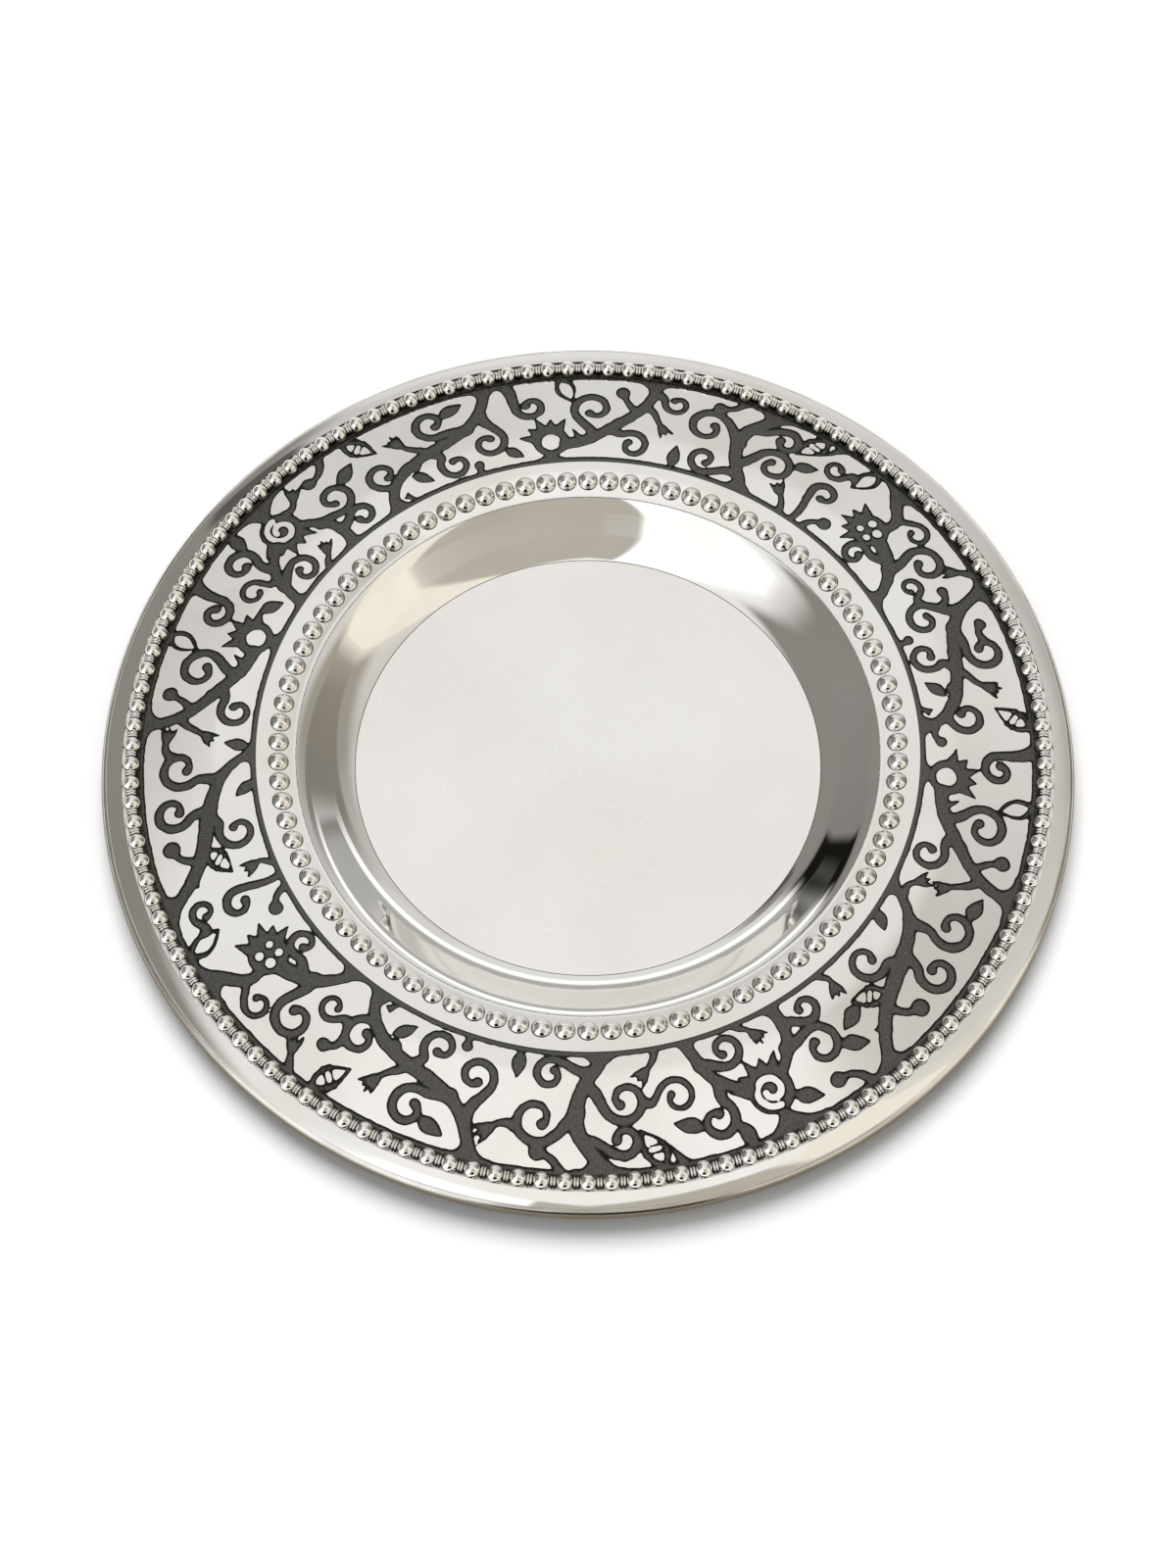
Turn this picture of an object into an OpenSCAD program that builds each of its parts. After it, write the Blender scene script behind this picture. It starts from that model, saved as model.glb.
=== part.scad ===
// Offering plate: a pressed metal plate with a flat-floored well, a domed flange that carries an
// ornamental etched band between two rings of beads, and a bevelled rim with its edge rolled around a
// stiffening wire.
// Millimetres, +Z up. The origin is the centre of the face that the plate rests on.

/* [Plate] */
// Outside diameter over the rolled edge
plate_d = 156; // [150:1:164]
// Thickness of the pressed sheet
sheet = 0.8; // [0.6:0.1:0.9]

/* [Well] */
// Diameter of the flat floor
floor_d = 75.4; // [68:0.2:76]
// Inside radius of the curve between floor and wall
fillet_r = 15.2; // [13:0.2:17]
// Steepest slope of the wall, in degrees
wall_angle = 37.4; // [35:0.2:40]
// Length of the straight part of the wall
wall_len = 3.46; // [2.5:0.02:4]
// Radius of the curve at the top of the wall
shoulder_r = 10; // [8:0.5:11]
// Slope at which the wall meets the flange, in degrees
shoulder_slope = 22; // [18:1:26]

/* [Flange] */
// Radius of the rolled-over inner part of the flange
crown_r = 28.2; // [25:0.2:30]
// Slope of the flange where it meets the wall, in degrees
margin_slope = 18; // [14:1:20]
// Fall of the flange towards the rim, in degrees
flange_fall = 9; // [5:0.5:10]
// Width of the rim outside the etched band, rolled edge included
rim_w = 6.3; // [6.1:0.1:7]
// Fall of the bevelled rim towards the edge, in degrees
bevel_fall = 14; // [10:1:18]
// Outer radius of the rolled edge
roll_r = 1.3; // [1.2:0.05:1.4]

/* [Etched band] */
// Diameter of the band's inner edge
band_inner_d = 106; // [105:0.5:108]
// Thickness of the band
band_t = 0.4; // [0.3:0.05:0.5]
// Depth of the etching in the band's two border lines
etch_depth = 0.15; // [0.1:0.05:0.2]
// Width of a border line
border_w = 0.9; // [0.6:0.1:1.2]

/* [Beads] */
// Number of balls on the outer bead wire
outer_count = 132; // [124:1:134]
// Diameter of one ball
outer_bead_d = 2.7; // [2.4:0.05:2.8]
// Number of domes in the inner ring
inner_count = 88; // [80:1:90]
// Diameter of one dome at its base
inner_bead_d = 3.1; // [2.8:0.05:3.2]
// Height of one dome
inner_bead_h = 1.15; // [1:0.05:1.3]

/* [Hidden] */
$fn = 96;

arc_steps = 6;
plate_r = plate_d / 2;
floor_r = floor_d / 2;

// The wall leaves the floor at a crease
start_slope = 20;
// Both ends of the wall's straight part, and the edge where it meets the flange
wall_foot = [floor_r + fillet_r * (sin(wall_angle) - sin(start_slope)),
             sheet + fillet_r * (cos(start_slope) - cos(wall_angle))];
wall_head = wall_foot + wall_len * [cos(wall_angle), sin(wall_angle)];
shoulder = wall_head + shoulder_r * [sin(wall_angle) - sin(shoulder_slope),
                                     cos(shoulder_slope) - cos(wall_angle)];

// Centres of the curves
fillet_c = [floor_r - fillet_r * sin(start_slope), sheet + fillet_r * cos(start_slope)];
shoulder_c = wall_head + shoulder_r * [sin(wall_angle), -cos(wall_angle)];
crown_c = shoulder + crown_r * [sin(margin_slope), -cos(margin_slope)];

// The cone of the flange runs from the crown to the level channel that the bead wire lies in
cone_start = crown_c + crown_r * [sin(flange_fall), cos(flange_fall)];
band_outer_r = plate_r - rim_w;
channel_z = cone_start[1] - (band_outer_r - cone_start[0]) * tan(flange_fall);
band_inner_r = band_inner_d / 2;
band_start = crown_angle(band_inner_r);
line_end = crown_angle(band_inner_r + border_w);
joggle_start = crown_angle(band_inner_r - sheet);

roll_c = [plate_r - roll_r, channel_z - roll_r];
wire_gap = 0.02;
wire_r = roll_r - sheet - wire_gap;

// The channel's outer side steps up to the bevel, which meets the rolled edge at a tangent
channel_slack = 0.05;
step_lean = 0.05;
channel_r = band_outer_r + outer_bead_d + channel_slack;
bevel_end = roll_c + roll_r * [sin(bevel_fall), cos(bevel_fall)];
bevel_r = channel_r + step_lean;
bevel_top = [bevel_r, bevel_end[1] + (bevel_end[0] - bevel_r) * tan(bevel_fall)];

outer_bead_r = outer_bead_d / 2;
outer_ring_r = band_outer_r + outer_bead_r;
outer_lift = 0.35 * outer_bead_r;
reel_r = 0.62 * outer_bead_r;
reel_t = 0.34;
core_r = 0.4 * outer_bead_r;
pitch = 2 * PI * outer_ring_r / outer_count;

inner_lean = 12.4;
inner_seat = crown_c + crown_r * [-sin(inner_lean), cos(inner_lean)];
inner_sphere_r = (pow(inner_bead_d / 2, 2) + pow(inner_bead_h, 2)) / (2 * inner_bead_h);

// How far the crown's radius leans inwards, in degrees, where the flange is r from the centre
function crown_angle(r) = asin((crown_c[0] - r) / crown_r);

// Where the fillet at depth d below the top skin leaves the level floor, in degrees
function foot_angle(d) = acos((fillet_c[1] - sheet + d) / (fillet_r + d));

// Points along an arc about c, from angle a0 to angle a1
function arc(c, r, a0, a1, steps = arc_steps) =
    [for (i = [0:steps]) c + r * [cos(a0 + (a1 - a0) * i / steps), sin(a0 + (a1 - a0) * i / steps)]];

// The well and margin at depth d below the top skin, from the centre to where the crown leans by end
function well_line(d, end) = concat(
    [[0, sheet - d]],
    arc(fillet_c, fillet_r + d, foot_angle(d) - 90, wall_angle - 90),
    arc(shoulder_c, shoulder_r - d, 90 + wall_angle, 90 + shoulder_slope),
    arc(crown_c, crown_r - d, 90 + margin_slope, 90 + end));

// The flange at depth d, from where the crown leans by start to radius end_r
function flange_line(d, start, end_r) = concat(
    arc(crown_c, crown_r - d, 90 + start, 90 - flange_fall),
    [[end_r, channel_z + (band_outer_r - end_r) * tan(flange_fall) - d / cos(flange_fall)]]);

// The level channel, its side and the bevel at depth d, from the band outwards
function bevel_line(d) = [
    [band_outer_r + d, channel_z - d],
    [channel_r + d, channel_z - d],
    bevel_top + [d, -d / cos(bevel_fall)]];

// The sheet turned over the edge and under it, outside first and back along the inside
function roll_line() = concat(
    arc(roll_c, roll_r, 90 - bevel_fall, -180, 24),
    arc(roll_c, roll_r - sheet, -180, 90 - bevel_fall, 24));

function reversed(list) = [for (i = [len(list) - 1:-1:0]) list[i]];

module plate_body() {
    color("silver")
    rotate_extrude($fn = 180)
    polygon(concat(
        well_line(0, band_start),
        flange_line(band_t, band_start, band_outer_r),
        bevel_line(0),
        roll_line(),
        reversed(bevel_line(sheet)),
        reversed(flange_line(sheet + band_t, joggle_start, band_outer_r + sheet)),
        reversed(well_line(sheet, joggle_start))));
}

module rim_wire() {
    color("lightsteelblue")
    rotate_extrude($fn = 180)
    translate(roll_c)
    circle(r = wire_r);
}

// The band's top, sunk by the etching along both borders
function band_top() = concat(
    arc(crown_c, crown_r - etch_depth, 90 + band_start, 90 + line_end, 1),
    flange_line(0, line_end, band_outer_r - border_w),
    [for (r = [band_outer_r - border_w, band_outer_r])
        [r, channel_z + (band_outer_r - r) * tan(flange_fall) - etch_depth / cos(flange_fall)]]);

module etched_band() {
    color("dimgray")
    rotate_extrude($fn = 180)
    polygon(concat(band_top(), reversed(flange_line(band_t, band_start, band_outer_r))));
}

// A ball cut flat where it is soldered down
module ball() {
    rotate_extrude()
    intersection() {
        translate([0, outer_lift]) circle(r = outer_bead_r);
        square([outer_bead_r, 2 * outer_bead_d]);
    }
}

// A disc of radius r across the wire, cut flat underneath
module reel(r, t, along) {
    translate([0, along - t / 2, 0])
    rotate([90, 0, 0])
    mirror([0, 0, 1])
    linear_extrude(t)
    intersection() {
        translate([0, outer_lift]) circle(r = r, $fn = 48);
        translate([-r, 0]) square([2 * r, 2 * r]);
    }
}

// One ball of the wire with the two reels that follow it
module outer_unit() {
    ball();
    reel(core_r, pitch - 0.05, pitch / 2);
    for (side = [-1, 1]) reel(reel_r, reel_t, (pitch + side * 1.3 * reel_t) / 2);
}

module outer_bead_wire() {
    color("gainsboro")
    for (i = [0:outer_count - 1])
        rotate([0, 0, 360 * i / outer_count])
        translate([outer_ring_r, 0, channel_z])
        outer_unit();
}

module dome() {
    rotate_extrude()
    intersection() {
        translate([0, inner_bead_h - inner_sphere_r]) circle(r = inner_sphere_r);
        square([inner_bead_d, inner_bead_h]);
    }
}

module inner_beads() {
    color("whitesmoke")
    for (i = [0:inner_count - 1])
        rotate([0, 0, 360 * i / inner_count])
        translate([inner_seat[0], 0, inner_seat[1]])
        rotate([0, -inner_lean, 0])
        dome();
}

plate_body();
rim_wire();
etched_band();
outer_bead_wire();
inner_beads();
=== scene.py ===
"""Offering plate: a polished pressing with a satin floor, an etched band and two rings of beads."""

import math

import bpy
import numpy as np
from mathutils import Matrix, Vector


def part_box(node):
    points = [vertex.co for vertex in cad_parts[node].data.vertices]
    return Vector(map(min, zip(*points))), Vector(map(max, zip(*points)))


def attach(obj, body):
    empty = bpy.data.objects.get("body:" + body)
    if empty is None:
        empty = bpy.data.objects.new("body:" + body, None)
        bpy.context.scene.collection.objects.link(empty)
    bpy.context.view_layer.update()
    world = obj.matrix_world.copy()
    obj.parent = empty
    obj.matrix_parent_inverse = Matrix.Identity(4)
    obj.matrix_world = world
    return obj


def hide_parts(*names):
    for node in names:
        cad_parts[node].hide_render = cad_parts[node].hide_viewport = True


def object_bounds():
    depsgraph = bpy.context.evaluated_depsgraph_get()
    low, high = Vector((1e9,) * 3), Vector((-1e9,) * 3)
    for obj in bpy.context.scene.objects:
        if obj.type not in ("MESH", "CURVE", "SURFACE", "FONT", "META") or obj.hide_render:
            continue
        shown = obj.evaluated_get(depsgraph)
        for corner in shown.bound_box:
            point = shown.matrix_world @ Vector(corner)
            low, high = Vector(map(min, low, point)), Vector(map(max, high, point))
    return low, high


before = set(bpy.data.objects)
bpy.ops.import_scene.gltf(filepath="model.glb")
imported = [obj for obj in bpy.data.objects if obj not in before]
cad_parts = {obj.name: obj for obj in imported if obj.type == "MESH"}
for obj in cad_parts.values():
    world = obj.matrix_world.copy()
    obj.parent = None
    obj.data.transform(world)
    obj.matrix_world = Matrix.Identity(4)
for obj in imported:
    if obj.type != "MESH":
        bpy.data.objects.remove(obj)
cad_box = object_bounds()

MM = 0.001

# ---- The plate's dimensions, in millimetres and degrees, as the CAD has them ----

SHEET = 0.8
FLOOR_R = 37.7
FILLET_R, START_SLOPE = 15.2, 20
WALL_ANGLE, WALL_LEN = 37.4, 3.46
SHOULDER_R, SHOULDER_SLOPE = 10, 22
CROWN_R, MARGIN_SLOPE = 28.2, 18
FLANGE_FALL, BEVEL_FALL = 9, 14
ROLL_R = 1.3
BAND_IN, BAND_T, ETCH_DEPTH = 53, 0.4, 0.15
BALL_R, BALL_LIFT, BALL_COUNT = 1.35, 0.4725, 132
REEL_R, REEL_T, CORE_R = 0.62 * BALL_R, 0.34, 0.54
DOME_R, DOME_H, DOME_LEAN, DOME_COUNT = 1.55, 1.15, 12.4, 88
CHANNEL_SLACK, STEP_LEAN = 0.05, 0.05

# From the frame: the outside radius, and the radius where the band meets the bead wire
PLATE_R = cad_box[1].x / MM
BAND_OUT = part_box("etched_band")[1].x / MM


def point(angle, length=1.0):
    """The point at this angle and distance from the origin of the section, as (r, z)"""
    return length * np.array([math.cos(math.radians(angle)), math.sin(math.radians(angle))])


def arc(centre, radius, start, end, steps=12):
    """Points of the section along an arc, from one angle to another"""
    return [centre + point(a, radius) for a in np.linspace(start, end, steps + 1)]


def tan(angle):
    return math.tan(math.radians(angle))


# The section's corners and the centres of its curves, as (r, z)
FILLET_C = np.array([FLOOR_R, SHEET]) + point(90 + START_SLOPE, FILLET_R)
WALL_FOOT = FILLET_C + point(WALL_ANGLE - 90, FILLET_R)
WALL_HEAD = WALL_FOOT + point(WALL_ANGLE, WALL_LEN)
SHOULDER_C = WALL_HEAD - point(90 + WALL_ANGLE, SHOULDER_R)
SHOULDER = SHOULDER_C + point(90 + SHOULDER_SLOPE, SHOULDER_R)
CROWN_C = SHOULDER - point(90 + MARGIN_SLOPE, CROWN_R)
CONE_START = CROWN_C + point(90 - FLANGE_FALL, CROWN_R)
CHANNEL_Z = CONE_START[1] - (BAND_OUT - CONE_START[0]) * tan(FLANGE_FALL)
CHANNEL_R = BAND_OUT + 2 * BALL_R + CHANNEL_SLACK
ROLL_C = np.array([PLATE_R - ROLL_R, CHANNEL_Z - ROLL_R])
BEVEL_END = ROLL_C + point(90 - BEVEL_FALL, ROLL_R)
BEVEL_R = CHANNEL_R + STEP_LEAN
BEVEL_TOP = np.array([BEVEL_R, BEVEL_END[1] + (BEVEL_END[0] - BEVEL_R) * tan(BEVEL_FALL)])


def crown_angle(r):
    """How far the crown's radius leans inwards where the flange is r from the centre"""
    return math.degrees(math.asin((CROWN_C[0] - r) / CROWN_R))


def foot_angle(depth):
    """Where the fillet, at this depth below the top skin, leaves the level floor"""
    return math.degrees(math.acos((FILLET_C[1] - SHEET + depth) / (FILLET_R + depth)))


def flange_z(r, depth):
    """Height of the flange at radius r, at this depth below its skin"""
    r = np.asarray(r, float)
    reach = np.clip(r - CROWN_C[0], -CROWN_R, CROWN_R)
    crown = CROWN_C[1] + np.sqrt((CROWN_R - depth) ** 2 - np.minimum(reach ** 2, (CROWN_R - depth) ** 2))
    cone = CHANNEL_Z + (BAND_OUT - r) * tan(FLANGE_FALL) - depth / math.cos(math.radians(FLANGE_FALL))
    return np.where(r < CONE_START[0], crown, cone)


# ---- Mesh helpers ----


def piece(name, verts, faces, smooth=True):
    """A mesh object from points in millimetres, riding on the plate"""
    mesh = bpy.data.meshes.new(name)
    mesh.from_pydata((np.asarray(verts) * MM).tolist(), [], faces)
    mesh.polygons.foreach_set("use_smooth", [smooth] * len(mesh.polygons))
    mesh.update()
    obj = bpy.data.objects.new(name, mesh)
    bpy.context.scene.collection.objects.link(obj)
    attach(obj, "root")
    return obj


def paint(obj, name, values):
    """A number at every vertex, which a material reads by name"""
    data = obj.data.attributes.new(name, "FLOAT", "POINT")
    data.data.foreach_set("value", np.asarray(values, np.float32))


def sharpen(obj, sharp):
    """Marks edges sharp where both ends carry the same number above 0"""
    mesh = obj.data
    ends = np.zeros(2 * len(mesh.edges), np.int32)
    mesh.edges.foreach_get("vertices", ends)
    a, b = np.asarray(sharp)[ends.reshape(-1, 2)].T
    marks = mesh.attributes.new("sharp_edge", "BOOLEAN", "EDGE")
    marks.data.foreach_set("value", (a == b) & (a > 0))


def lathe(runs, segments, closed):
    """Turns a section about Z. Each run is smooth, and the rings where runs meet are sharp.
    Returns the points, the faces, each point's sharp ring or 0, and each face's run."""
    section = [(tuple(p), k) for k, run in enumerate(runs) for p in run[:-1]]
    joints = np.cumsum([0] + [len(run) - 1 for run in runs])
    if not closed:
        section.append((tuple(runs[-1][-1]), len(runs) - 1))
    angles = 2 * np.pi * np.arange(segments) / segments
    verts, rows, sharp = [], [], []
    for i, ((r, z), _) in enumerate(section):
        count = segments if r > 1e-6 else 1
        rows.append(len(verts) + np.arange(segments) % count)
        verts += [(r * math.cos(a), r * math.sin(a), z) for a in angles[:count]]
        sharp += [i + 1 if i in joints else 0] * count
    faces, owners = [], []
    last = len(section) if closed else len(section) - 1
    for i in range(last):
        low, high = rows[i], rows[(i + 1) % len(section)]
        for s in range(segments):
            ring = [low[s], low[(s + 1) % segments], high[(s + 1) % segments], high[s]]
            face = [int(v) for k, v in enumerate(ring) if v != ring[k - 1]]
            if len(face) > 2:
                faces.append(face)
                owners.append(section[i][1])
    return np.array(verts), faces, np.array(sharp), np.array(owners)


def turned_copies(verts, faces, angles):
    """The same shape repeated around the Z axis at these angles, in degrees"""
    all_verts, all_faces = [], []
    for k, angle in enumerate(angles):
        c, s = point(angle)
        all_verts.append(verts @ np.array([[c, s, 0], [-s, c, 0], [0, 0, 1]]))
        all_faces += [[v + k * len(verts) for v in f] for f in faces]
    return np.vstack(all_verts), all_faces


# ---- Material helpers ----


class Nodes:
    """A node tree, with short calls to add nodes and wire them"""

    def __init__(self, owner):
        owner.use_nodes = True
        self.owner = owner
        self.tree = owner.node_tree

    def add(self, kind, inputs=None, **settings):
        node = self.tree.nodes.new("ShaderNode" + kind)
        for key, value in settings.items():
            setattr(node, key, value)
        for key, value in (inputs or {}).items():
            self.put(node.inputs[key], value)
        return node

    def put(self, socket, value):
        if isinstance(value, bpy.types.NodeSocket):
            self.tree.links.new(value, socket)
        else:
            socket.default_value = value

    def set(self, **inputs):
        for key, value in inputs.items():
            self.put(self.tree.nodes["Principled BSDF"].inputs[key.replace("_", " ")], value)

    def math(self, operation, a, b=0.0):
        return self.add("Math", {0: a, 1: b}, operation=operation).outputs[0]

    def scale_to(self, value, low, high, out_low=0.0, out_high=1.0):
        """Value from low to high, eased into out_low to out_high"""
        settings = {"Value": value, "From Min": low, "From Max": high,
                    "To Min": out_low, "To Max": out_high}
        return self.add("MapRange", settings, interpolation_type="SMOOTHSTEP").outputs["Result"]

    def within(self, value, middle, half):
        """1 near the middle, falling to 0 at half away from it"""
        gap = self.math("ABSOLUTE", self.math("SUBTRACT", value, middle))
        return self.scale_to(gap, 0.6 * half, half, 1.0, 0.0)

    def mix(self, factor, a, b):
        node = self.add("Mix", data_type="RGBA")
        for index, value in ((0, factor), (6, a), (7, b)):
            self.put(node.inputs[index], value)
        return node.outputs[2]

    def attribute(self, name):
        return self.add("Attribute", attribute_name=name).outputs["Fac"]

    def place(self):
        return self.add("TexCoord").outputs["Object"]

    def round_place(self, across, along):
        """A place measured around the plate: radius times across, angle times along, height"""
        split = self.add("SeparateXYZ", {0: self.place()})
        x, y, z = split.outputs
        squares = self.math("ADD", self.math("MULTIPLY", x, x), self.math("MULTIPLY", y, y))
        radius = self.math("SQRT", squares)
        angle = self.math("ARCTAN2", y, x)
        parts = {0: self.math("MULTIPLY", radius, across), 1: self.math("MULTIPLY", angle, along), 2: z}
        return self.add("CombineXYZ", parts).outputs[0]

    def noise(self, where, scale, detail=3.0, rough=0.55):
        inputs = {"Vector": where, "Scale": scale, "Detail": detail, "Roughness": rough}
        return self.add("TexNoise", inputs).outputs["Fac"]

    def bump(self, height, strength, distance):
        inputs = {"Height": height, "Strength": strength, "Distance": distance}
        return self.add("Bump", inputs).outputs["Normal"]


def metal(name):
    return Nodes(bpy.data.materials.new(name))


def grey(value, warm=0.0):
    """A linear colour from an 8-bit tone, with its blue lowered by warm tones"""
    def linear(v):
        return ((v / 255 + 0.055) / 1.055) ** 2.4
    return (linear(value), linear(value - 0.35 * warm), linear(value - warm), 1.0)


SILVER, SILVER_WORN = grey(250, 4), grey(243, 8)
# The black of patina and old polish, used also as painted shade in the channel, between the beads and at
# the corners
SHADE_AND_PATINA = grey(38, 6)


def polished_silver(name, low=0.02, high=0.05, wave=0.000015, patina_and_shade=False):
    """Bright metal with faint clouding, hairline scratches and slightly uneven polish; optionally blackened
    by a painted vertex mask, which is patina together with painted shade
    """
    n = metal(name)
    cloud = n.noise(n.place(), 55, 4)
    hair = n.noise(n.round_place(9000, 14), 1, 2)
    colour = n.mix(n.scale_to(cloud, 0.35, 0.75), SILVER, SILVER_WORN)
    rough = n.math("ADD", n.scale_to(cloud, 0.3, 0.8, low, high), n.scale_to(hair, 0.6, 0.8, 0, 0.03))
    # Painted shade with patina: blackened and dulled where the painted vertex mask is high, in patches
    if patina_and_shade:
        patchy = n.math("MULTIPLY", n.noise(n.place(), 2600, 3), 0.3)
        grime_and_shade = n.scale_to(n.math("ADD", n.attribute("patina_and_shade"), patchy), 0.42, 0.85)
        colour = n.mix(grime_and_shade, colour, SHADE_AND_PATINA)
        rough = n.math("ADD", rough, n.math("MULTIPLY", grime_and_shade, 0.4))
    n.set(Metallic=1.0, Base_Color=colour, Roughness=rough)
    n.set(Normal=n.bump(n.noise(n.place(), 70, 2), 0.6, wave))
    return n.owner


def satin_silver(name, rough=0.3):
    """The turned satin of the floor and the underside: fine concentric lines that catch the light softly"""
    n = metal(name)
    lines = n.noise(n.round_place(7000, 3), 1, 4, 0.7)
    cloud = n.noise(n.place(), 30, 3)
    colour = n.mix(n.scale_to(cloud, 0.3, 0.7), grey(242, 3), grey(236, 5))
    n.set(Metallic=0.85, Base_Color=colour, Normal=n.bump(lines, 0.25, 0.000004))
    n.set(Roughness=n.scale_to(lines, 0.25, 0.75, rough - 0.04, rough + 0.05))
    return n.owner


def shaded_worn_edge():
    """The rolled edge: polished on top; around its outside dull where the cloth does not reach, and browned
    with painted shade that stands in for the shadowed table it mirrors
    """
    n = metal("shaded_worn_edge")
    cloud = n.noise(n.round_place(400, 9), 1, 3)
    bright = n.mix(n.scale_to(cloud, 0.35, 0.7), grey(240, 8), grey(222, 12))
    # Painted shade: the outside of the roll browned where it mirrors the shadowed table; the added
    # roughness is its dullness
    dull_and_shaded = n.attribute("patina_and_shade")
    n.set(Metallic=1.0, Base_Color=n.mix(dull_and_shaded, bright, grey(118, 26)))
    polish = n.scale_to(cloud, 0.3, 0.7, 0.06, 0.12)
    n.set(Roughness=n.math("ADD", polish, n.math("MULTIPLY", dull_and_shaded, 0.3)))
    return n.owner


def etched_ground():
    """The blackened, brushed floor of the etching, darkest along the foot of each island"""
    n = metal("etched_ground")
    ragged = n.math("MULTIPLY", n.math("SUBTRACT", n.noise(n.place(), 3200, 3), 0.5), 0.35)
    foot = n.scale_to(n.math("ADD", n.attribute("gap"), ragged), 0.14, 0.42)
    brushed = n.noise(n.round_place(1500, 300), 1, 4, 0.7)
    fill = n.mix(n.scale_to(brushed, 0.3, 0.72), grey(78, 5), grey(122, 6))
    n.set(Metallic=1.0, Base_Color=n.mix(foot, grey(42, 4), fill))
    n.set(Roughness=n.scale_to(brushed, 0.3, 0.7, 0.38, 0.55), Normal=n.bump(brushed, 0.5, 0.00004))
    return n.owner


def grime_and_shade_metal():
    """The channel under the bead wire, black with old polish and painted shade, and the lines at the
    corners, which are painted crease shade
    """
    n = metal("grime_and_shade_metal")
    cloud = n.noise(n.place(), 1800, 4)
    n.set(Metallic=0.8, Base_Color=n.mix(n.scale_to(cloud, 0.4, 0.75), SHADE_AND_PATINA, grey(92, 8)))
    n.set(Roughness=n.scale_to(cloud, 0.3, 0.7, 0.35, 0.6))
    return n.owner


def drawn_steel():
    """The wire inside the rolled edge, streaked by the die along its length"""
    n = metal("drawn_steel")
    streaks = n.noise(n.round_place(9000, 6), 1, 3)
    n.set(Metallic=1.0, Base_Color=n.mix(streaks, grey(176), grey(206)))
    n.set(Roughness=n.scale_to(streaks, 0.3, 0.7, 0.25, 0.4))
    return n.owner


# ---- The pressed plate ----

# The plate's materials, in the order in which plate() adds them
POLISHED, SATIN, GRIME_AND_SHADE, UNDERSIDE, WORN_SHADED = range(5)
# Radius of the bevel's faint curve, and how far it turns to each side of the bevel's fall
BULGE_R, BULGE_TURN = 35, 2


def plate_runs():
    """The section from the floor's centre over the rim and back, as smooth runs with a material for each"""
    seat = crown_angle(BAND_IN)
    joggle = crown_angle(BAND_IN - SHEET)

    def well(depth, end):
        floor = [np.array([r, SHEET - depth]) for r in (0, 12, 25)]
        fillet = arc(FILLET_C, FILLET_R + depth, foot_angle(depth) - 90, WALL_ANGLE - 90, 16)
        shoulder = arc(SHOULDER_C, SHOULDER_R - depth, 90 + WALL_ANGLE, 90 + SHOULDER_SLOPE, 12)
        margin = arc(CROWN_C, CROWN_R - depth, 90 + MARGIN_SLOPE, 90 + end, 10)
        return [floor + fillet[:1], fillet + shoulder, shoulder[-1:] + margin]

    def lined(before, after, width):
        """Trims two runs where they meet, to fit a narrow run around the corner for a painted dark line of
        crease shade
        """
        corner = after[0]
        ends = [corner + width * (p - corner) / math.dist(p, corner) for p in (before[-2], after[1])]
        return before[:-1] + ends[:1], [ends[0], corner, ends[1]], ends[1:] + after[1:]

    def seat_run(depth, start, end_r):
        """The flange under the band, out to radius end_r"""
        cone_end = np.array([end_r, float(flange_z(end_r, depth))])
        return arc(CROWN_C, CROWN_R - depth, 90 + start, 90 - FLANGE_FALL, 10) + [cone_end]

    def step(depth):
        """Three points of the channel, and the head of the bevel"""
        radii = (BAND_OUT + depth, BAND_OUT + BALL_R, CHANNEL_R + depth)
        channel = [np.array([r, CHANNEL_Z - depth]) for r in radii]
        return channel + [BEVEL_TOP + (depth, -depth / math.cos(math.radians(BEVEL_FALL)))]

    floor, wall, margin = well(0, seat)
    floor, floor_line, wall = lined(floor, wall, 0.06)
    wall, shoulder_line, margin = lined(wall, margin, 0.12)
    under_floor, under_wall, under_margin = well(SHEET, joggle)
    seat_top = seat_run(BAND_T, seat, BAND_OUT)
    seat_under = seat_run(SHEET + BAND_T, joggle, BAND_OUT + SHEET)
    top, under = step(0), step(SHEET)
    groove = [BEVEL_END, BEVEL_END + (0.04, -0.05), BEVEL_END + (0.1, -0.03)]
    roll_start = math.degrees(math.atan2(*(groove[-1] - ROLL_C)[::-1]))
    roll = arc(ROLL_C, ROLL_R, roll_start - 1, -180, 40)
    hollow = arc(ROLL_C, ROLL_R - SHEET, -180, 90 - BEVEL_FALL, 16)
    first, last = 90 - BEVEL_FALL + BULGE_TURN, 90 - BEVEL_FALL - BULGE_TURN
    bevel = arc(BEVEL_END - point(last, BULGE_R), BULGE_R, first, last, 6)
    bevel[0] = top[3]
    return [
        (floor, SATIN), (floor_line, GRIME_AND_SHADE), (wall, POLISHED), (shoulder_line, GRIME_AND_SHADE), (margin, POLISHED),
        ([margin[-1], seat_top[0]], GRIME_AND_SHADE), (seat_top, GRIME_AND_SHADE), ([seat_top[-1], top[0]], GRIME_AND_SHADE),
        (top[:2], GRIME_AND_SHADE), (top[1:3], POLISHED), (top[2:], POLISHED), (bevel, POLISHED),
        (groove[:2], WORN_SHADED), (groove[1:] + roll[:1], WORN_SHADED), (roll, WORN_SHADED),
        ([roll[-1], hollow[0]], POLISHED), (hollow, POLISHED),
        ([hollow[-1], under[3]], UNDERSIDE), (under[:1:-1], UNDERSIDE), (under[2::-2], UNDERSIDE),
        ([under[0], seat_under[-1]], UNDERSIDE), (seat_under[::-1], UNDERSIDE),
        ([seat_under[0], under_margin[-1]], UNDERSIDE), (under_margin[::-1], UNDERSIDE),
        (under_wall[::-1], UNDERSIDE), (under_floor[::-1], UNDERSIDE)]


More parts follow.
